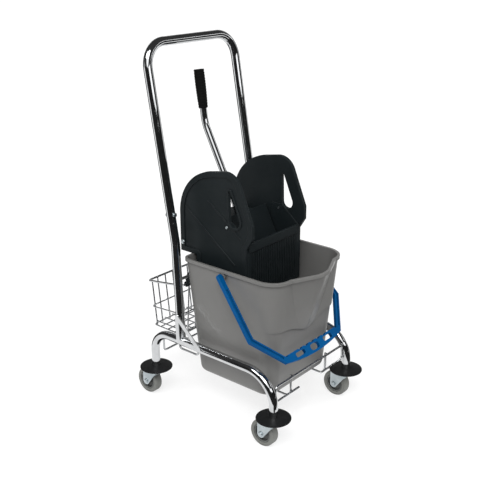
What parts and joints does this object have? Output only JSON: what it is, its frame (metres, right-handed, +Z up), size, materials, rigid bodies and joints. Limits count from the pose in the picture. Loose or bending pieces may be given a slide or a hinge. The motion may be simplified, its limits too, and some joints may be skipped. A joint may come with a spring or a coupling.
{
  "type": "mop bucket trolley",
  "caption": "Chromed tube trolley on swivel casters with a spouted mop bucket, bail, jaw wringer with hand lever, and a rear wire basket.",
  "frame": {"origin": "on the floor, midway between the swivel axes of the four casters", "axes": "+Z up, -Y to the front where the bucket's spout is, +Y to the push handle and basket, +X to the right seen from the front"},
  "size_m": [0.424, 0.5385, 1.003],
  "materials": {
    "chrome_tube": "bright polished chrome plating on bent steel tube",
    "chrome_wire": "bright chrome plating on welded wire",
    "zinc_steel": "zinc-plated pressed steel",
    "black_plastic": "matt moulded plastic with fine grain",
    "grip_rubber": "ribbed soft hand grip",
    "grey_plastic": "satin moulded plastic",
    "blue_plastic": "semi-gloss moulded plastic",
    "black_disc": "matt moulded plastic",
    "hub_plastic": "moulded plastic wheel centre",
    "grey_tyre": "non-marking grey rubber"
  },
  "bodies": {
    "frame": {"left_rail": "chrome_tube", "right_rail": "chrome_tube", "left_upright": "chrome_tube", "right_upright": "chrome_tube", "push_handle": "chrome_tube", "coupling_sleeves": "zinc_steel", "handle_bolts": "zinc_steel", "left_brace": "chrome_tube", "right_brace": "chrome_tube", "basket_rod": "chrome_wire", "rear_cross_rod": "chrome_wire", "basket_clips": "black_plastic", "front_wire": "chrome_wire", "left_cradle_wire": "chrome_wire", "right_cradle_wire": "chrome_wire", "rear_wire": "chrome_wire", "side_loops": "chrome_wire", "front_left_disc": "black_disc", "front_right_disc": "black_disc", "rear_left_disc": "black_disc", "rear_right_disc": "black_disc", "front_left_stem": "zinc_steel", "front_right_stem": "zinc_steel", "rear_left_stem": "zinc_steel", "rear_right_stem": "zinc_steel"},
    "bucket": {"bucket": "grey_plastic"},
    "bail": {"bail": "blue_plastic"},
    "wringer": {"left_cheek": "black_plastic", "right_cheek": "black_plastic", "press_basket": "black_plastic", "back_panel": "black_plastic", "cheek_rivets": "zinc_steel", "tie_rod": "zinc_steel", "jaw_axle": "zinc_steel"},
    "lever": {"press_jaw": "black_plastic", "lever_tube": "chrome_tube", "lever_grip": "grip_rubber", "lever_bolt": "zinc_steel"},
    "basket": {"basket_rim": "chrome_wire", "basket_hoops": "chrome_wire", "basket_uprights": "chrome_wire", "basket_floor_wires": "chrome_wire"},
    "swivel_fl": {"front_left_fork": "zinc_steel", "front_left_axle": "zinc_steel"},
    "wheel_fl": {"front_left_hub": "hub_plastic", "front_left_tyre": "grey_tyre"},
    "swivel_fr": {"front_right_fork": "zinc_steel", "front_right_axle": "zinc_steel"},
    "wheel_fr": {"front_right_hub": "hub_plastic", "front_right_tyre": "grey_tyre"},
    "swivel_rl": {"rear_left_fork": "zinc_steel", "rear_left_axle": "zinc_steel"},
    "wheel_rl": {"rear_left_hub": "hub_plastic", "rear_left_tyre": "grey_tyre"},
    "swivel_rr": {"rear_right_fork": "zinc_steel", "rear_right_axle": "zinc_steel"},
    "wheel_rr": {"rear_right_hub": "hub_plastic", "rear_right_tyre": "grey_tyre"}
  },
  "joints": [
    {"name": "front_left_swivel", "type": "hinge", "parent": "frame", "child": "swivel_fl", "pos_m": [-0.166, -0.213, 0.087], "axis": [0, 0, 1], "continuous": true},
    {"name": "front_left_spin", "type": "hinge", "parent": "swivel_fl", "child": "wheel_fl", "pos_m": [-0.166, -0.184, 0.0375], "axis": [1, 0, 0], "continuous": true},
    {"name": "front_right_swivel", "type": "hinge", "parent": "frame", "child": "swivel_fr", "pos_m": [0.166, -0.213, 0.087], "axis": [0, 0, 1], "continuous": true},
    {"name": "front_right_spin", "type": "hinge", "parent": "swivel_fr", "child": "wheel_fr", "pos_m": [0.166, -0.184, 0.0375], "axis": [1, 0, 0], "continuous": true},
    {"name": "rear_left_swivel", "type": "hinge", "parent": "frame", "child": "swivel_rl", "pos_m": [-0.166, 0.213, 0.087], "axis": [0, 0, 1], "continuous": true},
    {"name": "rear_left_spin", "type": "hinge", "parent": "swivel_rl", "child": "wheel_rl", "pos_m": [-0.166, 0.242, 0.0375], "axis": [1, 0, 0], "continuous": true},
    {"name": "rear_right_swivel", "type": "hinge", "parent": "frame", "child": "swivel_rr", "pos_m": [0.166, 0.213, 0.087], "axis": [0, 0, 1], "continuous": true},
    {"name": "rear_right_spin", "type": "hinge", "parent": "swivel_rr", "child": "wheel_rr", "pos_m": [0.166, 0.242, 0.0375], "axis": [1, 0, 0], "continuous": true},
    {"name": "bucket_lift", "type": "slide", "parent": "frame", "child": "bucket", "axis": [0, -0.1392, 0.9903], "range_m": [0, 0.36]},
    {"name": "bail_swing", "type": "hinge", "parent": "bucket", "child": "bail", "pos_m": [0, -0.0355, 0.429], "axis": [-1, 0, 0], "range_deg": [-5, 105]},
    {"name": "wringer_lift", "type": "slide", "parent": "bucket", "child": "wringer", "axis": [0, -0.1392, 0.9903], "range_m": [0, 0.22]},
    {"name": "lever_swing", "type": "hinge", "parent": "wringer", "child": "lever", "pos_m": [0, -0.033, 0.396], "axis": [1, 0, 0], "range_deg": [0, 32]},
    {"name": "basket_lift", "type": "slide", "parent": "frame", "child": "basket", "axis": [0, 0.342, 0.9397], "range_m": [0, 0.22]}
  ]
}
